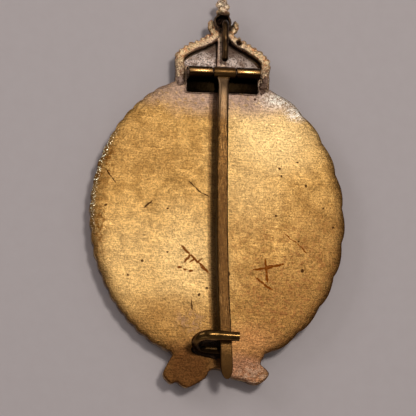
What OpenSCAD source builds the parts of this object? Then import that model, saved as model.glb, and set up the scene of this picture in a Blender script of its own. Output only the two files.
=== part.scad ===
// Pin-back breast badge: hollow oval wreath with a crown above and a ribbon bow below.
// It lies face down: +Z points out of the back, +Y towards the crown, +X to the right as seen
// from behind. The origin is on the surface it lies on, under the middle of its outline.
// Inside this file the parts are drawn on a datum at the middle of the oval, with z = 0 on the
// outer face of the back plate, and placed() moves them to the origin above.

/* [Oval body] */
// Half width of the oval
oval_a = 22.8; // [20:0.1:26]
// Half height of the oval
oval_b = 26.6; // [23:0.1:30]
// Height of the laurel leaf edges on the right-hand rim
laurel_h = 0.42; // [0:0.02:0.7]
// Height of the oak leaf edges on the left-hand rim
oak_h = 0.34; // [0:0.02:0.6]
// Thickness of the back plate
plate_t = 0.6; // [0.4:0.1:1.0]
// Depth of the struck front shell behind the plate
shell_d = 2.3; // [2:0.1:3]
// Sheet thickness of the front shell
sheet_t = 0.6; // [0.4:0.1:0.8]
// Relief of the leaves above the front shell
leaf_h = 0.9; // [0.4:0.1:1.2]
// Half width of the sunk field inside the wreath
field_a = 14.6; // [13:0.1:16]
// Half height of the sunk field inside the wreath
field_b = 17.6; // [16:0.1:19]

/* [Crown] */
// Depth of the crown from its back rims to its front
crown_d = 2.6; // [2.2:0.1:3]
// Depth of the two recesses in the back of the crown
recess_d = 1.4; // [1:0.1:1.7]
// Outer radius of the hollow orb
orb_r = 1.65; // [1.5:0.05:1.9]
// Diameter of the wire behind the crown
stay_d = 1.25; // [1:0.05:1.4]

/* [Hinge] */
// Width of the hinge leaf and of its barrel
hinge_w = 13.1; // [11:0.1:14]
// Diameter of the barrel
barrel_d = 2.05; // [1.9:0.05:2.3]
// Height of the barrel's axis above the back plate
axis_z = 2.3; // [2.1:0.05:2.6]
// Distance of the barrel's axis from the middle of the oval
axis_y = 26.1; // [25.8:0.1:26.3]
// Angle at which the hinge sits askew on the plate
hinge_skew = 2.5; // [0:0.1:3]
// Diameter of the hinge axle
axle_d = 1.0; // [0.8:0.05:1.1]
// Width of the pin's own knuckle
knuckle_w = 4.0; // [3.6:0.1:4.4]

/* [Pin and catch] */
// Length of the pin from the hinge axis to its tip
pin_l = 55.8; // [54:0.1:57]
// Width of the pin's shaft
pin_w = 1.95; // [1.7:0.05:2.1]
// Thickness of the pin's shaft
pin_t = 1.6; // [1.3:0.05:1.6]
// Distance by which the pin's tip is bent to the right
pin_drift = 1.9; // [0:0.1:2.4]
// Diameter of the wire of the catch
hook_d = 1.65; // [1.5:0.05:1.8]
// Distance between the middles of the catch's two legs
hook_rise = 4.2; // [4.15:0.05:4.4]
// Angle by which the catch leans towards the hinge
hook_lean = 25; // [15:1:26]
// Distance of the catch's foot below the middle of the oval
hook_y = 24.4; // [23.5:0.1:25]

/* [Hidden] */

embed = 0.3;         // depth to which relief is let into the sheet
outline_step = 1.5;
laurel_pitch = 14;
laurel_start = -63.5;
laurel_end = 62.5;
oak_pitch = 6;
oak_start = 117;
oak_end = 243;
run_gap = 0.03;      // radial clearance of the pin's knuckle on its axle
side_gap = 0.22;     // gap between neighbouring knuckles
leaf_base_t = 0.5;   // thickness of the hinge's base plate
front_z = -plate_t - shell_d;
low_z = front_z - leaf_h;
knuckle_r = barrel_d / 2;
side_knuckle_w = (hinge_w - knuckle_w) / 2 - side_gap;
leaf_front = 3.15;   // base plate in front of the axis
leaf_back = 1.5;     // base plate behind the axis
post_d = 1.9;        // thickness of the posts under the outer knuckles

// Edge relief added to the oval at the angle t
function edge_h(t) =
    t >= laurel_start && t <= laurel_end
        ? laurel_h * abs(sin(180 * (t - laurel_start) / laurel_pitch))
    : t >= oak_start && t <= oak_end
        ? oak_h * abs(sin(180 * (t - oak_start) / oak_pitch))
    : 0;

function on_oval(a, b, t) = [a * cos(t), b * sin(t)];

function rim_points(inset) = [
    for (t = [-90 : outline_step : 270 - outline_step])
        on_oval(oval_a + edge_h(t) - inset, oval_b + edge_h(t) - inset, t)];

function oval_points(a, b, count) = [
    for (i = [0 : count - 1]) on_oval(a, b, 360 * i / count)];

// Outline of the two bow tails, from the left root round to the right root
tail_points = [
    [-8.2, -23], [-7.5, -25.4], [-8.3, -26.9], [-9.2, -28.8], [-8.8, -29.7], [-7.7, -30.7],
    [-6.7, -30.1], [-5.8, -30.9], [-4.7, -31.2], [-2.9, -30.2], [-1.5, -29.2], [-1.1, -27.9],
    [0.4, -27.4], [2.2, -28.2], [3.1, -29.1], [5.2, -29.4], [6.3, -29.9], [7.7, -30.1],
    [9.1, -29], [9.7, -28], [9.1, -27.2], [7.9, -26.4], [8.6, -25], [8.8, -23]];

// Right half of the crown's outline, from its base up to the neck of the orb
crown_half = [
    [0, 23.2], [8.2, 23.2], [8.25, 27], [8.5, 29.4], [7.6, 30.7], [6.2, 31.8], [4.8, 32.6],
    [3.4, 33.2], [2.2, 34.2], [1.4, 35.4], [0, 36.2]];

// Right-hand recess in the back of the crown, between the centre rib and the arch
recess_half = [
    [0.95, 27.7], [7.3, 27.7], [7.5, 28.9], [6.2, 30.2], [4, 31.5], [2.2, 32.5], [0.95, 33.2]];

leaf_turn = 12;      // angle of each leaf to the line of the wreath
pearl_r = 0.5;
pearl_places = [[8.35, 29.5], [7.7, 30.6], [6.6, 31.5], [5.3, 32.3], [4, 32.9], [2.9, 33.6]];
orb_y = 37;
knob_x = 2.6;
knob_r = 0.75;
stay_x = 0.25;       // the wire stands a little to the right of the centre rib
cross_y = 40.4;
cross_r = 1.2;
top_y = cross_y + cross_r;
low_y = min([for (p = tail_points) p[1]]);
mid_y = (top_y + low_y) / 2;
rim = rim_points(0);
mid_x = (max([for (p = rim) p[0]]) + min([for (p = rim) p[0]])) / 2;

module placed() translate([-mid_x, -mid_y, -low_z]) children();

module slab(points, z_low, z_high)
    translate([0, 0, z_low]) linear_extrude(z_high - z_low) polygon(points);

module both_sides() {
    children();
    mirror([1, 0, 0]) children();
}

// Pointed leaf of length l and width w lying along +Y, its root at the origin
module leaf(l, w, z_low, z_high) {
    r = (l * l + w * w) / (4 * w);
    translate([0, l / 2, z_low]) intersection() {
        translate([r - w / 2, 0, 0]) cylinder(h = z_high - z_low, r = r, $fn = 48);
        translate([w / 2 - r, 0, 0]) cylinder(h = z_high - z_low, r = r, $fn = 48);
    }
}

// One side of the wreath: pairs of leaves that climb from the bow to the crown
module leaf_row(count, from_t, to_t, l, w) {
    mid_a = (oval_a + field_a) / 2;
    mid_b = (oval_b + field_b) / 2;
    for (i = [0 : count - 1], side = [-1, 1]) {
        t = from_t + (to_t - from_t) * i / (count - 1);
        p = on_oval(mid_a + side * 1.35, mid_b + side * 1.35, t);
        turn = sign(to_t - from_t);
        way = atan2(-mid_a * sin(t) * turn, -mid_b * cos(t) * turn);
        translate([p[0], p[1], 0]) rotate([0, 0, way + side * turn * leaf_turn])
            leaf(l, w, low_z, front_z + embed);
    }
}

module wreath_shell() color([0.72, 0.53, 0.27]) placed() {
    difference() {
        union() {
            slab(rim, front_z, -plate_t);
            slab(tail_points, front_z + 0.7, -plate_t);
        }
        slab(oval_points(field_a, field_b, 72), front_z - 1, front_z + 1.3);
        difference() {
            slab(oval_points(oval_a - 0.9, oval_b - 0.9, 96), front_z + sheet_t, 0);
            slab(oval_points(field_a + sheet_t, field_b + sheet_t, 72), front_z - 1, 1);
        }
        slab(oval_points(field_a + 0.9, field_b + 0.9, 72), front_z + 1.3 + sheet_t, 0);
    }
    leaf_row(9, -50, 68, 4.9, 2.1);
    leaf_row(9, 230, 112, 4.6, 2.3);
    // Knot and loops of the ribbon bow
    translate([0, -22.6, low_z]) cylinder(h = leaf_h + embed, r = 2.2, $fn = 40);
    both_sides() translate([1.4, -22.6, 0]) rotate([0, 0, -68])
        leaf(6.6, 3, low_z + 0.2, front_z + embed);
}

// Bead inside the rim that joins the front shell to the back plate
module rim_solder() color([0.6, 0.58, 0.56]) placed() difference() {
    slab(oval_points(oval_a - 0.9, oval_b - 0.9, 96), -plate_t - 0.5, -plate_t);
    slab(oval_points(oval_a - 1.5, oval_b - 1.5, 96), -plate_t - 1, 0);
}

module back_plate() color([0.80, 0.60, 0.33]) placed() union() {
    slab(rim, -plate_t, 0);
    slab(tail_points, -plate_t, 0);
}

module crown_outline(z_low, z_high) {
    slab(crown_half, z_low, z_high);
    mirror([1, 0, 0]) slab(crown_half, z_low, z_high);
}

module crown_shell() color([0.74, 0.55, 0.30]) placed() difference() {
    union() {
        crown_outline(-crown_d + 0.6, 0);
        both_sides() for (p = pearl_places)
            translate([p[0], p[1], -crown_d + 0.4]) cylinder(h = crown_d - 0.7, r = pearl_r, $fn = 24);
        // Raised centre arch and base band of the front
        translate([-0.9, 24.5, -crown_d - 0.3]) cube([1.8, 9.5, 1.2]);
        translate([-7.9, 24.2, -crown_d - 0.2]) cube([15.8, 2.2, 1]);
        // Orb, its side knobs, the neck and the cross
        translate([0, orb_y, -0.5]) cylinder(h = 0.5, r = orb_r, $fn = 40);
        translate([0, orb_y, -0.5]) sphere(r = orb_r, $fn = 40);
        both_sides() translate([knob_x, orb_y - 1.1, -0.9]) sphere(r = knob_r, $fn = 24);
        translate([-knob_x, orb_y - 1.6, -1.3]) cube([2 * knob_x, 1, 0.8]);
        translate([-0.55, orb_y + 1.1, -1.2]) cube([1.1, 2, 1.1]);
        translate([0, cross_y, -1.3]) cylinder(h = 1.2, r = cross_r, $fn = 32);
    }
    both_sides() slab(recess_half, -recess_d, 1);
    translate([0, orb_y, -0.5]) cylinder(h = 3, r = orb_r - 0.4, $fn = 40);
    translate([0, orb_y, -0.5]) sphere(r = orb_r - 0.4, $fn = 40);
    translate([-5, orb_y - 3, 0]) cube([10, 8, 4]);
    slab(rim, -crown_d - 2, 2);
}

// Thin grey lining on the floor of the two recesses
module crown_lining() color([0.55, 0.50, 0.46]) placed()
    both_sides() slab(recess_half, -recess_d, -recess_d + 0.25);

// Wire that comes out of the hollow orb and runs down behind the centre rib
module crown_stay_wire() color([0.30, 0.22, 0.13]) placed() translate([stay_x, 0, 0]) {
    stay_z = 1.15;
    foot_y = 29.3;
    bend_y = 35.4;
    bend_r = 1.2;
    translate([0, foot_y, stay_z]) rotate([-90, 0, 0])
        cylinder(h = bend_y - foot_y, r = stay_d / 2, $fn = 32);
    translate([0, foot_y, stay_z]) sphere(r = stay_d / 2, $fn = 32);
    translate([0, bend_y, stay_z - bend_r]) rotate([0, -90, 0])
        rotate_extrude(angle = 90, $fn = 48) translate([bend_r, 0]) circle(d = stay_d, $fn = 32);
    translate([0, bend_y + bend_r, -1.3])
        cylinder(h = stay_z - bend_r + 1.3, r = stay_d / 2, $fn = 32);
}

// Beads beside the hinge where the crown is soldered to the wreath
module crown_solder() color([0.62, 0.58, 0.55]) placed()
    both_sides() translate([7.65, 24.9, 0]) cylinder(h = 0.3, r = 0.55, $fn = 32);

module on_hinge() placed() translate([0, axis_y, 0]) rotate([0, 0, hinge_skew]) children();

module hinge_leaf() color([0.16, 0.12, 0.08]) on_hinge() difference() {
    union() {
        translate([-hinge_w / 2, -leaf_front, 0]) cube([hinge_w, leaf_front + leaf_back, leaf_base_t]);
        both_sides() translate([knuckle_w / 2 + side_gap, 0, 0]) {
            translate([0, -post_d / 2, 0]) cube([side_knuckle_w, post_d, axis_z]);
            translate([0, 0, axis_z]) rotate([0, 90, 0])
                cylinder(h = side_knuckle_w, r = knuckle_r, $fn = 40);
        }
    }
    translate([-hinge_w, 0, axis_z]) rotate([0, 90, 0])
        cylinder(h = 2 * hinge_w, r = axle_d / 2, $fn = 40);
}

// Low fillet that holds the hinge leaf down
module hinge_solder() color([0.62, 0.58, 0.55]) on_hinge() difference() {
    translate([-hinge_w / 2 - 0.25, -leaf_front - 0.2, 0])
        cube([hinge_w + 0.5, leaf_front + leaf_back + 0.2, 0.22]);
    translate([-hinge_w / 2, -leaf_front, -1]) cube([hinge_w, leaf_front + leaf_back + 1, 3]);
}

module hinge_axle() color([0.55, 0.53, 0.50]) on_hinge()
    translate([-hinge_w / 2 - 0.1, 0, axis_z]) rotate([0, 90, 0])
        cylinder(h = hinge_w + 0.2, r = axle_d / 2, $fn = 40);

// Side view of the shaft, from the hinge axis at 0 to the tip at -pin_l, z from the axis
pin_top = 0.95;
pin_side = [
    [0.4, pin_top], [-pin_l * 0.85, pin_top + 0.12], [-pin_l * 0.9, pin_top],
    [-pin_l + 1, pin_top - 0.7], [-pin_l, pin_top - 1.1], [-pin_l, pin_top - 1.7],
    [-pin_l * 0.9, pin_top - pin_t], [-pin_l * 0.85, pin_top + 0.12 - pin_t],
    [-3, pin_top - pin_t], [0.4, pin_top - pin_t]];
// Half width of the shaft at the share u of its length
function half_w(u) =
    u < 0.07 ? pin_w / 2 + 0.85 * pow(1 - u / 0.07, 1.6)
    : u < 0.96 ? pin_w / 2 + 0.1 * u * u
    : (pin_w / 2 + 0.1) * sqrt(1 - pow((u - 0.96) / 0.0402, 2));
// Middle of the shaft: straight behind the hinge, then bent to the right
function bent_x(u) = -0.15 + pin_drift * pow(u, 3);
pin_steps = 60;
function pin_edge(u, side) = [bent_x(u) + side * half_w(u), 0.3 - u * (pin_l + 0.3)];
pin_outline = concat(
    [for (i = [0 : pin_steps]) pin_edge(i / pin_steps, 1)],
    [for (i = [pin_steps : -1 : 0]) pin_edge(i / pin_steps, -1)]);

module brooch_pin() color([0.45, 0.32, 0.17]) placed() translate([0, axis_y, axis_z]) difference() {
    union() {
        rotate([0, 0, hinge_skew]) translate([-knuckle_w / 2, 0, 0]) rotate([0, 90, 0])
            cylinder(h = knuckle_w, r = knuckle_r, $fn = 40);
        intersection() {
            translate([-4, 0, 0]) rotate([90, 0, 90]) linear_extrude(8) polygon(pin_side);
            slab(pin_outline, -3, 3);
        }
    }
    rotate([0, 0, hinge_skew]) translate([-hinge_w, 0, 0]) rotate([0, 90, 0])
        cylinder(h = 2 * hinge_w, r = axle_d / 2 + run_gap, $fn = 40);
}

// Round wire bent to a C that opens to the right; its foot is filed flat on the plate
hook_r = hook_d / 2;
hook_foot_z = hook_r - 0.1;
hook_bend_x = -1.9;
hook_foot_l = 3.6;
hook_top_l = 5.1;
module hook_wire() translate([0, -hook_y, hook_foot_z]) rotate([-hook_lean, 0, 0]) {
    translate([hook_bend_x, 0, 0]) rotate([0, 90, 0])
        cylinder(h = hook_foot_l, r = hook_r, $fn = 40);
    translate([hook_bend_x, 0, hook_rise]) rotate([0, 90, 0])
        cylinder(h = hook_top_l, r = hook_r, $fn = 40);
    translate([hook_bend_x, 0, hook_rise / 2]) rotate([90, 0, 0]) rotate([0, 0, 90])
        rotate_extrude(angle = 180, $fn = 64)
            translate([hook_rise / 2, 0]) circle(r = hook_r, $fn = 40);
}

module catch_hook() color([0.42, 0.31, 0.15]) placed() difference() {
    hook_wire();
    translate([-10, -hook_y - 5, -4]) cube([20, 10, 4]);
}

// Low solder pad that the catch's foot is bedded in
module catch_solder() color([0.50, 0.44, 0.36]) placed() difference() {
    translate([-3.4, -hook_y - 1.25, 0]) cube([5, 2.5, 0.4]);
    hook_wire();
}

wreath_shell();
rim_solder();
back_plate();
crown_shell();
crown_lining();
crown_stay_wire();
crown_solder();
hinge_leaf();
hinge_solder();
hinge_axle();
brooch_pin();
catch_hook();
catch_solder();
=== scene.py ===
import math
import random

import bmesh
import bpy
import numpy as np
from mathutils import Matrix, Vector, noise
from mathutils.geometry import delaunay_2d_cdt


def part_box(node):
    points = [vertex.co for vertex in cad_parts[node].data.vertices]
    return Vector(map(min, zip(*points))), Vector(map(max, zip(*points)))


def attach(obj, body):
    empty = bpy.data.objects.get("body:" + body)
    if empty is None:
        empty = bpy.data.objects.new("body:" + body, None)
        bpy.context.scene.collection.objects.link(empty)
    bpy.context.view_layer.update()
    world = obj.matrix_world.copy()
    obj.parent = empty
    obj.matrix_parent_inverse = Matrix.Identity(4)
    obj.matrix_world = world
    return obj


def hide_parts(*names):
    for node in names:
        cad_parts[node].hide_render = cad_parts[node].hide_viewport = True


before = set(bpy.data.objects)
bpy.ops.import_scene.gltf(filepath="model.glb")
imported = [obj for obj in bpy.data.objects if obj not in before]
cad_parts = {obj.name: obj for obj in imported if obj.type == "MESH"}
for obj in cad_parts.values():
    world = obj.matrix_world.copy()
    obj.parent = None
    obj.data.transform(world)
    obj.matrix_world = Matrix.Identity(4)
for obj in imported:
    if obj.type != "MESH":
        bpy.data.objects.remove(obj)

# The badge lies face down. Shapes are drawn in millimetres on the design's own datum: the middle
# of the oval, z = 0 on the outer face of the back plate, +Y to the crown, +Z out of the back.
MM = 0.001
NOISE_SEED = 7
noise.seed_set(NOISE_SEED)             # without it Blender's noise vectors start from the clock
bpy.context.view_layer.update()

OVAL_A, OVAL_B = 22.8, 26.6           # half width and half height of the oval
LAUREL_H, OAK_H = 0.42, 0.34          # height of the leaf edges on the rim
TAIL_LOW = -31.2                      # lowest point of the bow tails
PLATE_T, SHELL_D, LEAF_H = 0.6, 2.3, 0.9
FRONT_Z = -PLATE_T - SHELL_D
LOW_Z = FRONT_Z - LEAF_H
FIELD_A, FIELD_B, FIELD_D = 14.6, 17.6, 1.3
LEAF_L = 6.2                          # length of a leaf of the wreath
AXIS_Y, AXIS_Z, HINGE_W, HINGE_SKEW = 26.1, 2.3, 13.1, math.radians(2.5)
BARREL_R, AXLE_R, KNUCKLE_W, SIDE_GAP = 1.025, 0.5, 4.0, 0.22
LEAF_FRONT, LEAF_BACK, LEAF_T, POST_D = 3.15, 1.5, 0.5, 1.9
PIN_L, PIN_W, PIN_T, PIN_TOP, PIN_DRIFT = 55.8, 1.95, 1.6, 0.95, 1.9
HOOK_R, HOOK_RISE, HOOK_LEAN, HOOK_Y = 0.825, 4.2, math.radians(25), 24.4
HOOK_BEND_X, HOOK_FOOT_L, HOOK_TOP_L = -1.9, 3.6, 5.1
RECESS_D, ORB_R, ORB_Y = 1.4, 1.65, 37.0
STAY_X, STAY_R, STAY_Z, STAY_FOOT, STAY_BEND, STAY_BEND_R = 0.25, 0.625, 1.15, 29.3, 35.4, 1.2
ARCH_HOLE = (3.1, 33.0)                # casting flaw in the crown's right arch

plate_lo, plate_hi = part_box("back_plate")
DATUM = Vector((plate_hi.x - (OVAL_A + LAUREL_H) * MM, plate_lo.y - TAIL_LOW * MM, plate_hi.z))


def place(p):
    """A point in millimetres on the design's datum, as a point of the frame in metres."""
    return DATUM + Vector(p) * MM


def at_mm(p):
    """A point on the design's datum as millimetres of the frame, for a material."""
    return place(p) / MM


# ---------------------------------------------------------------- meshes

def turn_faces_out(mesh):
    bm = bmesh.new()
    bm.from_mesh(mesh)
    bmesh.ops.recalc_face_normals(bm, faces=bm.faces)
    bm.to_mesh(mesh)
    bm.free()


def add_piece(name, verts, faces, material, body, node, sharp):
    """Makes one piece from points in millimetres and puts it on its body."""
    mesh = bpy.data.meshes.new(name)
    mesh.from_pydata([place(v) for v in verts], [], faces)
    finish_piece(name, mesh, material, body, node, sharp)


def finish_piece(name, mesh, material, body, node, sharp):
    """Makes a piece of a mesh. Edges steeper than sharp, in degrees, stay crisp."""
    mesh.validate()
    mesh.update()
    turn_faces_out(mesh)
    mesh.shade_smooth()
    mesh.set_sharp_from_angle(angle=math.radians(sharp))
    piece = bpy.data.objects.new(name, mesh)
    bpy.context.scene.collection.objects.link(piece)
    piece.data.materials.append(material)
    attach(piece, body)
    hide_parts(node)


def wobble(p, size, amount, seed=0.0):
    """Smooth random shift of a point, with bumps of about the given size."""
    q = Vector((p[0] / size + seed, p[1] / size - seed, p[2] / size + 2 * seed))
    return Vector(noise.noise_vector(q)) * amount


def join_parts(parts):
    """Joins (verts, faces) pairs into one pair."""
    verts, faces = [], []
    for part_verts, part_faces in parts:
        base = len(verts)
        verts.extend(part_verts)
        faces.extend([tuple(i + base for i in f) for f in part_faces])
    return verts, faces


def skin_faces(rings, points):
    """Faces that join a row of closed rings, and close its two ends."""
    faces = []
    for a in range(0, (rings - 1) * points, points):
        for k in range(points):
            n = (k + 1) % points
            faces.append((a + k, a + n, a + points + n, a + points + k))
    faces.append(tuple(range(points))[::-1])
    faces.append(tuple((rings - 1) * points + k for k in range(points)))
    return faces


def tube(path, radius_at, segments=24, domed=(False, False)):
    """A closed tube along a path, with its radius a function of the share of the length."""
    path = [Vector(p) for p in path]
    count = len(path)
    tangents = [(path[min(i + 1, count - 1)] - path[max(i - 1, 0)]).normalized() for i in range(count)]
    side = tangents[0].orthogonal().normalized()
    rings = []
    for i, (p, t) in enumerate(zip(path, tangents)):
        side = (side - t * side.dot(t)).normalized()
        rings.append((p, t, side.copy(), radius_at(i / (count - 1))))
    if domed[0]:
        rings = dome(rings[0], -1)[::-1] + rings[1:]
    if domed[1]:
        rings = rings[:-1] + dome(rings[-1], 1)
    verts = []
    for p, t, s, r in rings:
        other = t.cross(s)
        for k in range(segments):
            a = 2 * math.pi * k / segments
            verts.append(p + (s * math.cos(a) + other * math.sin(a)) * r)
    return verts, skin_faces(len(rings), segments)


def dome(ring, way, steps=6):
    """Rings that round off the end of a tube."""
    p, t, s, r = ring
    return [(p + t * way * r * math.sin(a), t, s, max(r * math.cos(a), r * 0.08))
            for a in [0.5 * math.pi * k / steps * 0.97 for k in range(steps + 1)]]


def barrel(x0, x1, outer, inner, bevel=0.12, segments=48):
    """A ring-shaped knuckle along X, centred on the origin, with rounded edges."""
    profile = [(x0, inner), (x0, outer - bevel)]
    profile += [(x0 + bevel * (1 - math.cos(a)), outer - bevel * (1 - math.sin(a)))
                for a in (0.5, 1.0, 1.5)]
    profile += [(x1 - bevel * (1 - math.cos(a)), outer - bevel * (1 - math.sin(a)))
                for a in (1.5, 1.0, 0.5)]
    profile += [(x1, outer - bevel), (x1, inner)]
    verts, faces = [], []
    count = len(profile)
    for k in range(segments):
        a = 2 * math.pi * k / segments
        verts.extend(Vector((x, r * math.cos(a), r * math.sin(a))) for x, r in profile)
    for k in range(segments):
        n = (k + 1) % segments
        for j in range(count):
            m = (j + 1) % count
            faces.append((k * count + j, n * count + j, n * count + m, k * count + m))
    return verts, faces


def block(low, high, bevel=0.1, cuts=3):
    """A box with rounded edges."""
    bm = bmesh.new()
    bmesh.ops.create_cube(bm, size=1)
    size = Vector(high) - Vector(low)
    middle = (Vector(high) + Vector(low)) / 2
    for v in bm.verts:
        v.co = Vector((v.co[i] * size[i] + middle[i] for i in range(3)))
    bmesh.ops.bevel(bm, geom=list(bm.edges), offset=bevel, segments=cuts, affect="EDGES", profile=0.5)
    bm.verts.ensure_lookup_table()
    out = [v.co.copy() for v in bm.verts], [tuple(v.index for v in f.verts) for f in bm.faces]
    bm.free()
    return out


def blob(centre, radii, lumps=0.25, seed=0.0, detail=4):
    """A lumpy rounded bead."""
    bm = bmesh.new()
    bmesh.ops.create_icosphere(bm, subdivisions=detail, radius=1)
    verts = []
    for v in bm.verts:
        d = v.co.normalized()
        swell = 1 + lumps * noise.noise(d * 1.7 + Vector((seed, seed, -seed)))
        swell += 0.35 * lumps * noise.noise(d * 4.5 + Vector((seed, -seed, seed)))
        verts.append(Vector(centre) + Vector((d[i] * radii[i] * swell for i in range(3))))
    faces = [tuple(v.index for v in f.verts) for f in bm.faces]
    bm.free()
    return verts, faces


def turned(part, angle, origin):
    """A part turned about Z and then moved."""
    turn = Matrix.Rotation(angle, 3, "Z")
    return [turn @ Vector(v) + Vector(origin) for v in part[0]], part[1]


# ---------------------------------------------------------------- outline of the body

LAUREL_START, LAUREL_END, LAUREL_PITCH = -63.5, 62.5, 14
OAK_START, OAK_END, OAK_PITCH = 117, 243, 6
RIGHT_ROOT, LEFT_ROOT = -67.7, 250.3   # angles at which the bow tails leave the oval

TAILS = [
    (-7.5, -25.4), (-8.3, -26.9), (-9.2, -28.8), (-8.8, -29.7), (-7.7, -30.7), (-6.7, -30.1),
    (-5.8, -30.9), (-4.7, -31.2), (-2.9, -30.2), (-1.5, -29.2), (-1.1, -27.9), (0.4, -27.4),
    (2.2, -28.2), (3.1, -29.1), (5.2, -29.4), (6.3, -29.9), (7.7, -30.1), (9.1, -29.0),
    (9.7, -28.0), (9.1, -27.2), (7.9, -26.4), (8.6, -25.0)]


def edge_height(t):
    """Leaf edges on the rim at the angle t: long laurel leaves right, small oak lobes left."""
    if LAUREL_START <= t <= LAUREL_END:
        u = ((t - LAUREL_START) / LAUREL_PITCH) % 1
        return LAUREL_H * math.sin(math.pi * u ** 0.8)
    if OAK_START <= t <= OAK_END:
        u = (t - OAK_START) / OAK_PITCH
        lobe = abs(math.sin(math.pi * u))
        ragged = 0.5 + 0.5 * noise.noise(Vector((u * 1.3, 0.4, 7.0)))
        return OAK_H * (0.35 + 0.65 * ragged) * lobe
    return 0.0


def rounded(points, rounds=2):
    """Cuts the corners of an open line, which keeps its two ends."""
    for _ in range(rounds):
        out = [points[0]]
        for a, b in zip(points, points[1:]):
            out.append((0.78 * a[0] + 0.22 * b[0], 0.78 * a[1] + 0.22 * b[1]))
            out.append((0.22 * a[0] + 0.78 * b[0], 0.22 * a[1] + 0.78 * b[1]))
        out.append(points[-1])
        points = out
    return points


def body_outline():
    points = []
    steps = 760
    for i in range(steps):
        t = RIGHT_ROOT + (LEFT_ROOT - RIGHT_ROOT) * i / steps
        h = edge_height(t)
        rough = 0.035 if t > 105 else 0.012
        p = Vector(((OVAL_A + h) * math.cos(math.radians(t)), (OVAL_B + h) * math.sin(math.radians(t)), 0))
        shake = wobble(p, 0.7, rough, 3.0)
        points.append((p.x + shake.x, p.y + shake.y))
    return points + rounded(TAILS)


OUTLINE = body_outline()


def inset_outline(points, inset):
    """The outline moved inwards by a small distance."""
    count = len(points)
    out = []
    for i, p in enumerate(points):
        a, b = points[i - 2], points[(i + 2) % count]
        d = Vector((b[0] - a[0], b[1] - a[1])).normalized()
        out.append((p[0] - d.y * inset, p[1] + d.x * inset))
    return out


def is_inside(points, grid):
    """Which points of the grid lie inside the closed outline."""
    px, py = np.array(points).T
    qx, qy = np.roll(px, -1), np.roll(py, -1)
    inside = np.zeros(len(grid), bool)
    for x0, y0, x1, y1 in zip(px, py, qx, qy):
        if y0 == y1:
            continue
        crosses = (grid[:, 1] > y0) != (grid[:, 1] > y1)
        at_x = x0 + (grid[:, 1] - y0) * (x1 - x0) / (y1 - y0)
        inside ^= crosses & (grid[:, 0] < at_x)
    return inside


def sheet_faces(border, pitch, extra=()):
    """Triangles that fill a border, with a staggered grid of points inside."""
    xs = np.arange(-24, 24, pitch)
    rows = []
    for j, y in enumerate(np.arange(-32, 28, pitch * 0.87)):
        rows.extend((x + (j % 2) * pitch / 2, y) for x in xs)
    rows = np.array(rows)
    keep = is_inside(inset_outline(border, 0.45 * pitch), rows)
    count = len(border)
    points = [Vector(p) for p in border] + [Vector(p) for p in rows[keep]] + [Vector(p) for p in extra]
    edges = [(i, (i + 1) % count) for i in range(count)]
    out = delaunay_2d_cdt(points, edges, [], 1, 1e-6)
    return [tuple(v) for v in out[0]], [tuple(f) for f in out[2]], out[3]


def layered_body(border, rings, top_z, bottom_z, pitch, extra=()):
    """A closed body: a filled top, rings down its edge, and a filled bottom.

    rings is a list of (inset, z) from the top edge to the bottom edge; top_z and bottom_z give
    the height at a point of the sheet."""
    count = len(border)
    verts, faces = [], []
    loops = []
    for inset, z in rings:
        start = len(verts)
        line = inset_outline(border, inset)
        verts.extend((x, y, z(x, y) if callable(z) else z) for x, y in line)
        loops.append(start)
    for a, b in zip(loops, loops[1:]):
        for i in range(count):
            n = (i + 1) % count
            faces.append((a + i, b + i, b + n, a + n))
    for loop, inset, height, flip in ((loops[0], rings[0][0], top_z, False),
                                      (loops[-1], rings[-1][0], bottom_z, True)):
        flat, tris, origins = sheet_faces(inset_outline(border, inset), pitch, extra)
        index = {}
        for j, p in enumerate(flat):
            source = [i for i in origins[j] if i < count] if origins[j] else []
            if source:
                index[j] = loop + source[0]
            else:
                index[j] = len(verts)
                verts.append((p[0], p[1], height(p[0], p[1])))
        for f in tris:
            ids = [index[i] for i in f]
            if len(set(ids)) == 3:
                faces.append(tuple(reversed(ids)) if flip else tuple(ids))
    return verts, faces


# ---------------------------------------------------------------- material nodes

def srgb(r, g, b):
    """A colour given as 0 to 255, as Blender's linear colour."""
    def linear(c):
        c = c / 255
        return c / 12.92 if c <= 0.04045 else ((c + 0.055) / 1.055) ** 2.4
    return (linear(r), linear(g), linear(b), 1)


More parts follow.
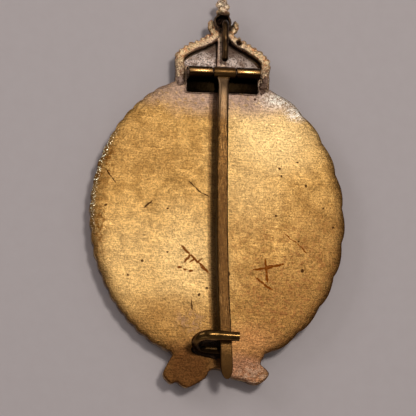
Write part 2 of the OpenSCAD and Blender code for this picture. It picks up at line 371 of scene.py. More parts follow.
class Look:
    """A material and short ways to add nodes to it. Coordinates are in millimetres."""

    def __init__(self, name, metallic=1.0, **constants):
        self.material = bpy.data.materials.new(name)
        self.material.use_nodes = True
        self.nodes = self.material.node_tree.nodes
        self.links = self.material.node_tree.links
        self.shader = self.nodes["Principled BSDF"]
        self.shader.inputs["Metallic"].default_value = metallic
        for key, value in constants.items():
            self.shader.inputs[key.replace("_", " ")].default_value = value
        texture = self.nodes.new("ShaderNodeTexCoord")
        self.mm = self.vector("SCALE", texture.outputs["Object"], scale=1 / MM)
        self.shifts = {}

    def link(self, value, socket):
        if isinstance(value, bpy.types.NodeSocket):
            self.links.new(value, socket)
        else:
            socket.default_value = value

    def vector(self, operation, a, b=None, scale=None):
        node = self.nodes.new("ShaderNodeVectorMath")
        node.operation = operation
        self.link(a, node.inputs[0])
        if b is not None:
            self.link(b, node.inputs[1])
        if scale is not None:
            self.link(scale, node.inputs["Scale"])
        measures = operation in ("LENGTH", "DOT_PRODUCT")
        return node.outputs["Value" if measures else "Vector"]

    def math(self, operation, a, b=0.0):
        node = self.nodes.new("ShaderNodeMath")
        node.operation = operation
        self.link(a, node.inputs[0])
        self.link(b, node.inputs[1])
        return node.outputs[0]

    def times(self, a, b):
        return a if b == 1.0 else self.math("MULTIPLY", a, b)

    def plus(self, a, b):
        return self.math("ADD", a, b)

    def minus(self, a, b):
        return self.math("SUBTRACT", a, b)

    def total(self, *terms):
        """The sum of several values, each given with its weight."""
        out = self.times(*terms[0])
        for value, weight in terms[1:]:
            out = self.plus(out, self.times(value, weight))
        return out

    def axis_mm(self, axis):
        """One coordinate on the design's datum."""
        away = self.vector("SUBTRACT", self.mm, tuple(at_mm((0, 0, 0))))
        return self.vector("DOT_PRODUCT", away, tuple(float(i == axis) for i in range(3)))

    def sideways(self):
        """1 on faces that stand upright, 0 on faces that look up or down."""
        facing = self.nodes.new("ShaderNodeNewGeometry").outputs["True Normal"]
        upright = self.math("ABSOLUTE", self.vector("DOT_PRODUCT", facing, (0.0, 0.0, 1.0)))
        return self.step(upright, 0.75, 0.35)

    def stretch(self, amounts, turn=0.0):
        """The coordinates scaled by three amounts after a turn about Z, for streaks."""
        node = self.nodes.new("ShaderNodeMapping")
        self.link(self.mm, node.inputs["Vector"])
        node.inputs["Rotation"].default_value = (0, 0, turn)
        node.inputs["Scale"].default_value = amounts
        return node.outputs[0]

    def noise(self, scale, detail=4.0, rough=0.55, where=None, distortion=0.0):
        node = self.nodes.new("ShaderNodeTexNoise")
        self.link(where if where is not None else self.mm, node.inputs["Vector"])
        node.inputs["Scale"].default_value = scale
        node.inputs["Detail"].default_value = detail
        node.inputs["Roughness"].default_value = rough
        node.inputs["Distortion"].default_value = distortion
        return node.outputs["Fac"]

    def cells(self, scale, where):
        node = self.nodes.new("ShaderNodeTexVoronoi")
        self.link(where, node.inputs["Vector"])
        node.inputs["Scale"].default_value = scale
        return node.outputs["Distance"]

    def step(self, value, low, high):
        """0 below low, 1 above high, smooth between; low may be the larger."""
        node = self.nodes.new("ShaderNodeMapRange")
        node.interpolation_type = "SMOOTHSTEP"
        self.link(value, node.inputs["Value"])
        node.inputs["From Min"].default_value = min(low, high)
        node.inputs["From Max"].default_value = max(low, high)
        node.inputs["To Min"].default_value = 0.0 if low < high else 1.0
        node.inputs["To Max"].default_value = 1.0 if low < high else 0.0
        return node.outputs["Result"]

    def mix(self, share, a, b):
        node = self.nodes.new("ShaderNodeMix")
        node.data_type = "RGBA"
        self.link(share, node.inputs["Factor"])
        self.link(a, node.inputs["A"])
        self.link(b, node.inputs["B"])
        return node.outputs["Result"]

    def tint(self, colour, towards, share, strength=1.0):
        """The colour drawn towards another one, by a share that is weakened to the given strength."""
        return self.mix(self.times(share, strength), colour, towards)

    def spot(self, centre, radii, soft=0.5, warp=0.0, size=0.3):
        """1 inside an oval patch of the plate, falling to 0 round it, with a ragged edge."""
        where = self.warped(warp, size) if warp else self.mm
        away = self.vector("SUBTRACT", where, tuple(at_mm((*centre, 0))))
        away = self.vector("MULTIPLY", away, (1 / radii[0], 1 / radii[1], 0))
        return self.step(self.vector("LENGTH", away), 1.0 + soft, 1.0 - soft)

    def patches(self, ragged, spots):
        """The strongest of several spots, each given by its centre, radii, softness and strength."""
        return self.most([self.times(self.spot(centre, radii, soft, *ragged), strength)
                          for centre, radii, soft, strength in spots])

    def warped(self, amount, scale):
        """The coordinates shifted by smooth noise, made once for each pair of settings."""
        if (amount, scale) in self.shifts:
            return self.shifts[amount, scale]
        node = self.nodes.new("ShaderNodeTexNoise")
        self.link(self.mm, node.inputs["Vector"])
        node.inputs["Scale"].default_value = scale
        node.inputs["Detail"].default_value = 3.0
        shift = self.vector("SUBTRACT", node.outputs["Color"], (0.5, 0.5, 0.5))
        shift = self.vector("SCALE", shift, scale=amount)
        self.shifts[amount, scale] = self.vector("ADD", self.mm, shift)
        return self.shifts[amount, scale]

    def marks(self, where, marks):
        """1 on any of the thin marks, each given by its start, its end and its half width."""
        nearest = 10.0
        for start, end, width in marks:
            a, b = at_mm((*start, 0)), at_mm((*end, 0))
            node = self.nodes.new("ShaderNodeMapping")
            node.vector_type = "TEXTURE"
            self.link(where, node.inputs["Vector"])
            node.inputs["Location"].default_value = (a + b) / 2
            node.inputs["Rotation"].default_value = (0, 0, math.atan2(b.y - a.y, b.x - a.x))
            node.inputs["Scale"].default_value = ((b - a).length / 2 + width, width, 1000)
            nearest = self.math("MINIMUM", self.vector("LENGTH", node.outputs[0]), nearest)
        return self.step(nearest, 1.15, 0.7)

    def most(self, values):
        out = values[0]
        for value in values[1:]:
            out = self.math("MAXIMUM", out, value)
        return out

    def finish(self, colour, roughness, height=None, depth=0.02):
        """Links the colour, the roughness and a bump whose height of 1 is depth millimetres."""
        self.link(colour, self.shader.inputs["Base Color"])
        self.link(roughness, self.shader.inputs["Roughness"])
        if height is not None:
            node = self.nodes.new("ShaderNodeBump")
            node.inputs["Strength"].default_value = 1.0
            node.inputs["Distance"].default_value = depth * MM
            self.link(height, node.inputs["Height"])
            self.links.new(node.outputs[0], self.shader.inputs["Normal"])
        return self.material


GOLD = srgb(206, 160, 92)
PALE_GOLD = srgb(236, 200, 138)
OLIVE = srgb(168, 126, 68)
DARK_GOLD = srgb(140, 98, 50)
BROWN = srgb(84, 48, 24)
RUST = srgb(146, 74, 18)
COPPER = srgb(210, 150, 118)
SILVER = srgb(190, 160, 144)
PATINA_AND_SHADE_BLACK = srgb(6, 3, 1)

def stroke(start, heading, length, width, chance, pieces=3):
    """A thin mark that wanders from its start along a heading in degrees."""
    marks = []
    here = Vector(start)
    for _ in range(pieces):
        way = math.radians(heading + chance.uniform(-12, 12))
        there = here + Vector((math.cos(way), math.sin(way))) * (length / pieces)
        marks.append((tuple(here), tuple(there), width * chance.uniform(0.8, 1.2)))
        here = there
    return marks


def twigs(start, apart, count, heading, length, width, chance):
    """A row of short strokes that start the same distance apart."""
    marks = []
    for i in range(count):
        at = (start[0] + apart[0] * i, start[1] + apart[1] * i)
        marks += stroke(at, heading, length * chance.uniform(0.6, 1.1), width, chance, 1)
    return marks


def rust_marks():
    """Two small branching rust figures, left and right of the pin."""
    chance = random.Random(4)
    left = stroke((-6.5, -6), -38, 6.5, 0.3, chance)
    left += twigs((-6, -9), (1.1, 0.1), 3, 48, 1.7, 0.22, chance)
    left += twigs((-7, -10), (1, -0.2), 3, 0, 0.4, 0.2, chance)
    right = stroke((8.5, -7.5), -88, 4, 0.27, chance)
    right += stroke((6.5, -9.5), 10, 5.5, 0.27, chance)
    right += stroke((7, -11), -45, 3.5, 0.22, chance, 2)
    right += stroke((12, -2.5), -38, 5.5, 0.14, chance)
    return left + right


def dark_marks():
    """A few dark scratches, and pits strewn at random over the oval."""
    chance = random.Random(9)
    marks = stroke((-13.5, 0.5), 45, 2, 0.2, chance, 1)
    marks += stroke((-5.5, 6), -32, 4.5, 0.15, chance)
    marks += stroke((-20.5, 7), -48, 3, 0.14, chance, 2)
    marks += stroke((-4.5, -15.5), -90, 2, 0.14, chance, 1)
    for _ in range(20):
        turn, reach = chance.uniform(0, 2 * math.pi), math.sqrt(chance.uniform(0.15, 0.85))
        at = (OVAL_A * reach * math.cos(turn), OVAL_B * reach * math.sin(turn))
        marks += stroke(at, 30, 0.1, 0.2 * chance.uniform(0.7, 1.6), chance, 1)
    return marks


def pale_marks():
    """Bright fresh scratches, nearly level."""
    chance = random.Random(2)
    marks = []
    for _ in range(9):
        at = (chance.uniform(-14, 12), chance.uniform(-17, 15))
        marks += stroke(at, chance.uniform(-40, 5), chance.uniform(1, 3), 0.13, chance, 1)
    return marks


def brushed_gilt():
    """Back plate: worn gilt brass with painted reflection zones, speckle, scratches, rust marks and a pink
    bloom, with painted shade on the rim, painted glints and highlights, and a painted pin shadow.
    """
    look = Look("brushed_gilt", Anisotropic=0.35)
    tangent = look.nodes.new("ShaderNodeTangent")
    tangent.direction_type = "RADIAL"
    tangent.axis = "Z"
    look.links.new(tangent.outputs[0], look.shader.inputs["Tangent"])

    mottle = look.noise(0.45, 5, 0.6, distortion=0.4)
    patch = look.noise(1.5, 4, 0.6)
    speckle = look.noise(3.4, 3, 0.65)
    grain = look.noise(7.5, 2, 0.6)
    level = look.noise(1.0, 3, 0.6, look.stretch((0.45, 6.5, 1.0), math.radians(-7)))
    slant = look.noise(1.0, 2, 0.55, look.stretch((0.5, 9.0, 1.0), math.radians(38)))
    steep = look.noise(1.0, 2, 0.55, look.stretch((0.45, 9.0, 1.0), math.radians(-66)))

    # slow changes of tone over the plate, with painted reflection: bright lobes and darker zones of
    # its sheen, in patches whose edges are ragged in a wide or a near way
    wide, near = (4.0, 0.25), (1.8, 0.5)
    painted_bright_reflection = look.patches(wide, [((9.0, 15.5), (7.5, 6.5), 0.7, 1.0), ((-14.5, -9.0), (7.5, 8.0), 0.7, 0.45),
                                 ((-6.0, -8.0), (7.0, 8.0), 0.8, 0.7), ((5.0, 8.0), (6.0, 9.0), 0.8, 0.45)])
    colour = look.mix(look.step(mottle, 0.36, 0.64), OLIVE, GOLD)
    colour = look.tint(colour, PALE_GOLD, painted_bright_reflection, 0.75)
    painted_dark_reflection = look.patches(wide, [((14.0, -17.0), (12.0, 9.5), 0.6, 1.0), ((19.0, -5.0), (6.0, 9.0), 0.8, 0.8),
                               ((-15.5, 12.0), (7.5, 6.0), 0.8, 0.45), ((-8.0, -21.0), (9.0, 5.0), 0.5, 0.85),
                               ((6.0, -8.0), (6.5, 9.0), 0.8, 0.35)])
    colour = look.tint(colour, DARK_GOLD, painted_dark_reflection, 0.8)

    # solder bloom along the top, a pale edge at the upper right, copper and painted highlights on the right
    # bow tail
    bloom = look.times(look.spot((1.0, 23.6), (15.5, 4.2), 0.6, *wide), look.step(patch, 0.22, 0.50))
    colour = look.tint(colour, SILVER, bloom, 0.85)
    pale = look.patches(near, [((11, 22.5), (3.5, 1.5), 0.7, 1.0), ((14, 20.5), (2, 1.5), 0.7, 1.0)])
    colour = look.tint(colour, srgb(240, 224, 206), look.times(pale, look.step(speckle, 0.40, 0.52)))
    colour = look.tint(colour, srgb(172, 116, 72), look.spot((5.5, -23.5), (5.5, 3.6), 0.6, *near), 0.6)
    colour = look.tint(colour, COPPER, look.spot((5.0, -27.8), (4.4, 2.6), 0.5, *near), 0.85)
    # painted highlights: near-white patches on the right bow tail
    painted_shine = look.times(look.spot((7, -28.5), (3, 2), 0.6, *near), look.step(patch, 0.47, 0.56))
    colour = look.tint(colour, srgb(255, 214, 180), painted_shine, 0.7)
    patina = look.times(look.spot((13, -13), (13, 14), 0.7, *wide), look.step(patch, 0.50, 0.62))
    colour = look.tint(colour, srgb(134, 82, 46), patina, 0.5)
    shade = look.spot((-4.8, -28.4), (4.8, 5.2), 0.5, *near)
    colour = look.tint(colour, srgb(124, 76, 40), shade, 0.9)

    # the rim is painted darker except near its top, a painted shade of its roll-off; its left side
    # is stained, with a few painted glints
    away = look.vector("SUBTRACT", look.mm, tuple(at_mm((0, 0, 0))))
    reach = look.vector("LENGTH", look.vector("MULTIPLY", away, (1 / OVAL_A, 1 / OVAL_B, 0)))
    painted_rim_shade = look.times(look.step(reach, 0.90, 1.01), look.step(look.axis_mm(1), 20.0, 6.0))
    colour = look.tint(colour, srgb(92, 58, 28), painted_rim_shade, 0.65)
    stain = look.patches(near, [((-20.6, 8.8), (1.6, 4.6), 0.8, 1.0), ((-21.2, -3.0), (1.2, 5.0), 0.9, 1.0)])
    colour = look.tint(colour, srgb(120, 76, 30), look.times(stain, look.step(patch, 0.42, 0.60)))

    # painted shadow: a dark band on the plate along the pin's left side
    share = look.math("DIVIDE", look.minus(AXIS_Y, look.axis_mm(1)), PIN_L)
    bend = look.times(look.math("POWER", look.math("MAXIMUM", share, 0.0), 3.0), PIN_DRIFT)
    beside = look.math("ABSOLUTE", look.minus(look.plus(look.axis_mm(0), 1.2), bend))
    painted_pin_shadow = look.times(look.step(beside, 1.25, 0.85), look.step(look.axis_mm(1), -27.5, -26.0))
    colour = look.tint(colour, srgb(92, 54, 24), painted_pin_shadow, 0.55)
    greyed = look.times(look.spot((-4.5, -19.5), (2.5, 1.8), 0.6, *near), look.step(patch, 0.44, 0.58))
    colour = look.tint(colour, srgb(150, 118, 100), greyed, 0.4)
    # painted highlights: a few near-white glints on the left rim
    left_rim = look.times(look.step(reach, 0.965, 0.985), look.spot((-22, 7), (4, 10), 0.3))
    painted_glint = look.times(left_rim, look.step(speckle, 0.54, 0.62))
    colour = look.tint(colour, srgb(255, 240, 200), painted_glint)

    # speckle and scratches
    bent = look.warped(0.7, 0.8)
    fine = look.most([look.times(look.step(level, 0.60, 0.70), 0.75),
                      look.times(look.step(slant, 0.65, 0.74), 0.6),
                      look.times(look.step(steep, 0.67, 0.75), 0.5),
                      look.marks(bent, pale_marks())])
    tone = look.total((look.step(speckle, 0.38, 0.62), 0.50), (look.step(level, 0.36, 0.64), 0.26),
                      (look.step(patch, 0.36, 0.64), 0.16), (fine, 0.35))
    colour = look.vector("SCALE", colour, scale=look.plus(tone, 0.52))
    rust = look.times(look.marks(bent, rust_marks()), look.step(look.noise(2.2, 3, 0.6), 0.25, 0.45))
    colour = look.tint(colour, RUST, rust, 0.9)
    specks = look.step(look.cells(1.6, bent), 0.14, 0.06)
    specks = look.times(specks, look.step(look.noise(0.3, 2), 0.47, 0.60))
    dark = look.most([look.marks(bent, dark_marks()), look.times(specks, 0.8)])
    colour = look.tint(colour, BROWN, dark, 0.85)

    worn = look.most([dark, rust, look.times(bloom, 0.5), look.times(shade, 0.6)])
    roughness = look.plus(0.42, look.times(look.minus(patch, 0.5), 0.25))
    roughness = look.minus(look.plus(roughness, look.times(worn, 0.22)), look.times(painted_glint, 0.2))
    height = look.total((speckle, 0.9), (grain, 0.45), (patch, 0.9), (level, 0.5))
    return look.finish(colour, roughness, height, 0.06)


def struck_gilt():
    """Front shell: gilt brass that is bright on the high relief, darker on its side wall and in the
    hollows, as patina and painted shade.
    """
    look = Look("struck_gilt")
    mottle = look.noise(0.8, 5, 0.6)
    grain = look.noise(7.0, 3, 0.6)
    above = look.axis_mm(2)
    # patina and painted shade: dark patches on the side wall and the ground, fading out towards the leaf tops
    patina_and_shade = look.times(look.step(above, -3.5, -2.7), look.step(mottle, 0.80, 0.40))
    colour = look.mix(look.step(mottle, 0.38, 0.62), srgb(172, 126, 66), PALE_GOLD)
    colour = look.tint(colour, srgb(74, 46, 22), patina_and_shade)
    height = look.total((mottle, 1.0), (grain, 0.4))
    return look.finish(colour, look.total((0.26, 1.0), (mottle, 0.25)), height, 0.04)


def crown_gilt():
    """Crown: gold on the pearls, worn to silver-pink on the inner rims, dark in the orb, with painted
    sparkle and a painted highlight on the cross, and painted shade in its deep parts.
    """
    look = Look("crown_gilt")
    mottle = look.noise(1.1, 5, 0.65)
    speckle = look.noise(3.6, 4, 0.65)
    colour = look.mix(look.step(mottle, 0.36, 0.56), srgb(236, 158, 100), srgb(255, 218, 166))
    middle = look.vector("SUBTRACT", look.mm, tuple(at_mm((0, 24.0, 0))))
    reach = look.vector("LENGTH", look.vector("MULTIPLY", middle, (1 / 8.6, 1 / 11.5, 0)))
    inner = look.step(look.total((reach, 1.0), (mottle, 0.25)), 1.06, 0.86)
    colour = look.tint(colour, srgb(252, 214, 190), inner, 0.85)
    near = (0.5, 1.0)                  # how ragged the edges of the patches are
    feet = look.patches((0.8, 1.0), [((8.2, 25.6), (1.5, 3.0), 0.5, 1.0),
                                     ((-8.0, 25.6), (1.5, 3.0), 0.5, 1.0)])
    colour = look.tint(colour, srgb(134, 106, 90), feet, 0.8)
    colour = look.tint(colour, srgb(84, 54, 34), look.step(speckle, 0.48, 0.36), 0.85)
    # painted highlights: near-white sparkle on the high parts of the crown
    painted_sparkle = look.times(look.step(speckle, 0.52, 0.60), look.step(look.axis_mm(2), -0.7, -0.2))
    colour = look.tint(colour, srgb(255, 228, 184), painted_sparkle, 0.8)
    # painted shade: everything deeper than 0.8 mm below the back is darkened
    colour = look.tint(colour, srgb(38, 26, 18), look.step(look.axis_mm(2), -0.3, -0.8), 0.9)
    orb = look.patches(near, [((0.1, 36.6), (2.1, 2.4), 0.2, 1.0), ((0.7, 33.0), (0.8, 1.2), 0.5, 1.0)])
    colour = look.tint(colour, srgb(66, 48, 38), orb, 0.96)
    # painted highlights: near-white patches on the cross
    cross = look.times(look.spot((0.2, 40.3), (1.7, 1.2), 0.3, *near), look.step(speckle, 0.40, 0.52))
    colour = look.tint(colour, srgb(255, 230, 198), cross)
    pits = look.step(look.cells(2.2, look.warped(0.5, 1.2)), 0.22, 0.08)
    pits = look.most([look.times(pits, look.step(look.noise(0.6, 2), 0.44, 0.58)),
                      look.spot(ARCH_HOLE, (0.45, 0.4), 0.35, 0.3, 2.0)])
    colour = look.tint(colour, srgb(58, 36, 22), pits, 0.9)
    height = look.minus(look.plus(mottle, speckle), pits)
    return look.finish(colour, look.total((0.24, 1.0), (mottle, 0.22)), height, 0.14)


def recess_crust():
    """Floor of the crown's recesses: a grainy silver crust, with painted light low in the middle and
    painted shade under the arches and to the right.
    """
    look = Look("recess_crust", metallic=0.9)
    mottle = look.noise(0.9, 5, 0.7)
    speckle = look.noise(3.4, 3, 0.7)
    colour = look.mix(look.step(mottle, 0.36, 0.56), srgb(176, 148, 130), srgb(248, 228, 214))
    # painted light low in the middle of each recess, painted shade round it, more on the right
    painted_light = look.patches((1.8, 0.5), [((-3.4, 28.4), (4.8, 2.3), 0.5, 1.0),
                                    ((2.8, 28.4), (3.6, 2.2), 0.6, 0.75)])
    colour = look.tint(colour, srgb(112, 90, 76), look.minus(1.0, painted_light))
    colour = look.tint(colour, srgb(206, 142, 88), look.spot((0.6, 27.6), (2.2, 0.8), 0.6, 1.8, 0.5), 0.9)
    colour = look.tint(colour, srgb(70, 48, 34), look.step(speckle, 0.52, 0.40), 0.8)
    height = look.total((mottle, 0.8), (speckle, 1.0))
    return look.finish(colour, look.total((0.30, 1.0), (speckle, 0.3)), height, 0.12)


def grey_solder(name, low, high):
    """Tin solder and crusts: grainy, with brown stains."""
    look = Look(name, metallic=0.9)
    mottle = look.noise(0.8, 5, 0.7)
    speckle = look.noise(3.0, 4, 0.7)
    colour = look.mix(look.step(mottle, 0.38, 0.60), low, high)
    colour = look.tint(colour, srgb(66, 46, 34), look.step(speckle, 0.50, 0.38), 0.75)
    colour = look.tint(colour, low, look.step(look.axis_mm(0), 0.0, 2.5), 0.6)
    height = look.total((mottle, 0.8), (speckle, 1.0))
    return look.finish(colour, look.total((0.34, 1.0), (speckle, 0.3)), height, 0.12)


def drawn_brass(name, low, high, along=1, rough=0.24):
    """Drawn wire or strip, brown with handling; its draw lines run along the given axis."""
    look = Look(name)
    mottle = look.noise(0.9, 5, 0.6)
    speckle = look.noise(3.6, 3, 0.6)
    lines = [8.0, 8.0, 8.0]
    lines[along] = 0.5
    draw = look.noise(1.0, 3, 0.6, look.stretch(lines))
    colour = look.mix(look.step(mottle, 0.36, 0.64), low, high)
    colour = look.tint(colour, srgb(190, 146, 88), look.step(draw, 0.54, 0.70), 0.45)
    specks = look.step(look.cells(2.6, look.warped(0.4, 1.0)), 0.2, 0.08)
    specks = look.times(specks, look.step(mottle, 0.44, 0.56))
    colour = look.tint(colour, srgb(44, 27, 14), specks, 0.7)
    height = look.total((draw, 0.6), (mottle, 0.5), (speckle, 0.4), (specks, -0.6))
    return look, colour, look.total((rough, 1.0), (mottle, 0.18)), height


def pin_brass():
    """Pin: silver wear on the neck, brown below it, painted darker from the middle down and lighter near
    the tip as painted shade and light, painted shade on its upright sides, black-brown on the knuckle.
    """
    look, colour, roughness, height = drawn_brass("pin_brass", srgb(66, 43, 20), srgb(104, 72, 36))
    grit = look.step(look.noise(3.0, 3, 0.65), 0.36, 0.64)
    colour = look.vector("SCALE", colour, scale=look.plus(look.times(grit, 0.7), 0.65))
    along = look.plus(look.axis_mm(1), look.times(look.noise(0.5, 4, 0.6), 5.0))
    worn = look.times(look.step(along, 18.0, 24.0), look.step(look.axis_mm(1), 25.2, 24.6))
    colour = look.tint(colour, srgb(158, 126, 94), worn, 0.6)
    # painted shade and light along the pin: darker from the middle down, lighter again near the tip
    colour = look.tint(colour, srgb(52, 32, 14), look.step(along, 17.0, 2.0), 0.65)
    colour = look.tint(colour, srgb(150, 106, 58), look.step(along, -18.0, -24.0), 0.7)
    colour = look.tint(colour, srgb(104, 74, 40), look.step(look.axis_mm(1), 24.7, 25.3))
    # painted shade: the upright side faces of the pin are darkened
    colour = look.tint(colour, srgb(34, 18, 8), look.sideways(), 0.8)
    return look.finish(colour, roughness, height, 0.05)


def hook_brass():
    """Catch: smooth brown wire, with painted shade making it almost black near the plate."""
    low, high = srgb(84, 60, 30), srgb(122, 90, 48)
    look, colour, roughness, height = drawn_brass("hook_brass", low, high, 0, 0.14)
    # painted shade: the wire darkened towards the plate
    colour = look.tint(colour, srgb(26, 16, 8), look.step(look.axis_mm(2), 4.2, 2.2), 0.85)
    return look.finish(colour, roughness, height, 0.015)


def stay_brass():
    """Stay wire: dark brown."""
    look, colour, roughness, height = drawn_brass("stay_brass", srgb(34, 22, 13), srgb(62, 43, 26), 1, 0.12)
    return look.finish(colour, roughness, height, 0.04)


def dark_patina():
    """Hinge: brass painted almost black, as dark patina and painted shade, brown on the knuckles' upper
    half and a rubbed line along their tops that carries a painted highlight.
    """
    look = Look("dark_patina")
    mottle = look.noise(1.2, 5, 0.6)
    draw = look.noise(1.0, 3, 0.6, look.stretch((0.7, 7.0, 7.0)))
    rubbed_top_and_highlight = look.times(look.step(look.axis_mm(2), 3.22, 3.31), look.step(mottle, 0.25, 0.45))
    # near black: dark patina and painted shade; the knuckles' upper half painted lighter as painted light
    colour = look.mix(look.step(mottle, 0.35, 0.65), PATINA_AND_SHADE_BLACK, srgb(9, 5, 2))
    colour = look.tint(colour, srgb(60, 39, 20), look.step(look.axis_mm(2), 2.4, 3.1))
    # a rubbed brass line on the knuckles' tops, which also carries a painted highlight
    colour = look.tint(colour, srgb(212, 160, 98), rubbed_top_and_highlight, 0.9)
    height = look.plus(mottle, look.times(draw, 0.5))
    return look.finish(colour, look.plus(0.16, look.times(mottle, 0.2)), height, 0.02)


MAT_PLATE = brushed_gilt()
MAT_SHELL = struck_gilt()
MAT_CROWN = crown_gilt()
MAT_SOLDER = grey_solder("tin_solder", srgb(120, 90, 70), srgb(190, 160, 142))
MAT_LINING = recess_crust()
# near-black solder, partly a painted shade of the gap under the catch's hook
MAT_SOLDER_AND_SHADE = grey_solder("solder_and_painted_shade", srgb(16, 9, 5), srgb(46, 30, 17))
MAT_PIN = pin_brass()
MAT_HOOK = hook_brass()
MAT_STAY = stay_brass()
MAT_HINGE = dark_patina()


# ---------------------------------------------------------------- back plate

def plate_height(x, y):
    """Dents of the hand-worked plate, and its edge, which rolls off all round the oval."""
    swell = 0.14 * noise.noise(Vector((x * 0.07, y * 0.07, 1.5)))
    on_tail = min(max((-22.5 - y) / 3, 0), 1)
    dents = (0.04 + 0.10 * on_tail) * noise.noise(Vector((x * 0.28, y * 0.28, 4.5)))
    dents += 0.06 * on_tail * noise.noise(Vector((x * 0.8, y * 0.8, 2.5)))
    reach = math.hypot(x / OVAL_A, y / OVAL_B)
    roll = min(max((reach - 0.9) / 0.1, 0), 1.3) ** 2 if y > -24.5 else 0.4
    return min(swell + dents - 0.10 - 0.16 * roll, 0.0)


def back_plate():
    rings = [(0.22, plate_height), (0.08, lambda x, y: plate_height(x, y) - 0.05),
             (0.0, lambda x, y: max(plate_height(x, y) - 0.13, -0.5)), (0.0, -PLATE_T + 0.06),
             (0.05, -PLATE_T)]
    verts, faces = layered_body(OUTLINE, rings, plate_height, lambda x, y: -PLATE_T, 0.6)
    add_piece("back_plate_sheet", verts, faces, MAT_PLATE, "badge", "back_plate", 50)


# ---------------------------------------------------------------- front shell

def leaf_list():
    """Every leaf of the wreath: its root, its direction, its half width and its kind."""
    leaves = []
    count = 12
    for start, end, kind in ((-58, 76, "laurel"), (238, 104, "oak")):
        way = 1 if end > start else -1
        for i in range(count):
            t = start + (end - start) * i / (count - 1)
            for row, spread in ((1.9, 24), (-1.9, -22), (0.0, 2)):
                a, b = (OVAL_A + FIELD_A) / 2 + row, (OVAL_B + FIELD_B) / 2 + row
                cos, sin = math.cos(math.radians(t)), math.sin(math.radians(t))
                heading = math.atan2(b * cos * way, -a * sin * way) - math.radians(spread) * way
                leaves.append(((a * cos, b * sin), heading, 1.45 if kind == "laurel" else 1.6, kind))
    return leaves


def relief(points):
    """Depth of the struck front at each point, from the ring's ground at 0 to the leaf tops at 1."""
    x, y = points[:, 0], points[:, 1]
    height = np.zeros(len(points))
    for (rx, ry), heading, half, kind in leaf_list():
        u = ((x - rx) * math.cos(heading) + (y - ry) * math.sin(heading)) / LEAF_L
        v = (-(x - rx) * math.sin(heading) + (y - ry) * math.cos(heading)) / half
        inside = (u > 0) & (u < 1)
        width = np.where(inside, np.sin(math.pi * np.clip(u, 0, 1) ** 0.8), 0.001)
        if kind == "oak":
            width = width * (0.8 + 0.2 * np.cos(u * 6 * math.pi))
        across = np.clip(1 - (v / np.maximum(width, 0.001)) ** 2, 0, 1)
        vein = 0.18 * np.exp(-(v / 0.12) ** 2) * inside
        lift = (0.35 + 0.65 * u) * across ** 0.8 * inside - vein
        height = np.maximum(height, lift)
    return height


def field_depth(x, y):
    """How far the sunk field lies above the ring's ground, with a fine border line."""
    away = np.sqrt((x / FIELD_A) ** 2 + (y / FIELD_B) ** 2)
    sunk = np.clip((1.0 - away) / 0.035, 0, 1)
    border = 0.25 * np.exp(-((away - 0.9) / 0.012) ** 2)
    dome = 0.25 * np.clip(1 - (away / 0.86) ** 2, 0, 1)
    return FIELD_D * sunk - border - dome * (away < 0.86)


def bow_height(x, y):
    """Knot, loops and tails of the ribbon bow."""
    knot = np.sqrt(np.clip(1 - ((x / 2.3) ** 2 + ((y + 22.4) / 2.0) ** 2), 0, 1))
    loops = np.zeros(len(x))
    for side in (-1, 1):
        u = (x - side * 4.6) / 4.2
        v = (y + 21.6 - side * 0.12 * (x - side * 4.6)) / 1.9
        r = u ** 2 + v ** 2
        loops = np.maximum(loops, 0.9 * np.sqrt(np.clip(1 - r, 0, 1)) - 0.35 * np.exp(-(r / 0.12)))
    folds = 0.5 + 0.18 * np.cos(np.abs(x) * 2.1 + y * 0.5)
    tails = folds * np.clip((-23.2 - y) / 1.2, 0, 1)
    return np.maximum(np.maximum(knot, loops), tails)


def front_heights(points):
    x, y = points[:, 0], points[:, 1]
    clear_of_field = np.clip((np.sqrt((x / FIELD_A) ** 2 + (y / FIELD_B) ** 2) - 1.0) / 0.06, 0, 1)
    raised = np.maximum(relief(points) * clear_of_field, bow_height(x, y))
    past_oval = np.clip(((x / OVAL_A) ** 2 + (y / OVAL_B) ** 2 - 1.02) / 0.10, 0, 1)
    ground = FRONT_Z + 0.7 * past_oval
    return np.maximum(ground + field_depth(x, y) - LEAF_H * raised, LOW_Z)


def wreath_shell():
    ring_line = [(FIELD_A * s * math.cos(a), FIELD_B * s * math.sin(a))
                 for s in (1.0, 0.965) for a in np.linspace(0, 2 * math.pi, 180, endpoint=False)]
    rings = [(0.12, -PLATE_T), (0.03, -PLATE_T - 0.08), (0.0, -PLATE_T - 0.25), (0.02, -1.6),
             (0.06, -2.3), (0.2, -2.75), (0.45, -3.0)]
    unset = 99.0                       # stands for the front's heights, which are worked out together
    verts, faces = layered_body(OUTLINE, rings, lambda x, y: -PLATE_T, lambda x, y: unset, 0.3, ring_line)
    verts = np.array(verts)
    front = verts[:, 2] == unset
    verts[front, 2] = front_heights(verts[front, :2])
    # the low rings of the bow tails rise with the ground there
    on_ring = np.arange(len(verts)) < len(OUTLINE) * len(rings)
    past_oval = (verts[:, 0] / OVAL_A) ** 2 + (verts[:, 1] / OVAL_B) ** 2 > 1.08
    verts[on_ring & past_oval & (verts[:, 2] < -2.2), 2] += 0.35
    add_piece("wreath_front_shell", [tuple(v) for v in verts], faces, MAT_SHELL, "badge", "wreath_shell",
              60)


# ---------------------------------------------------------------- crown

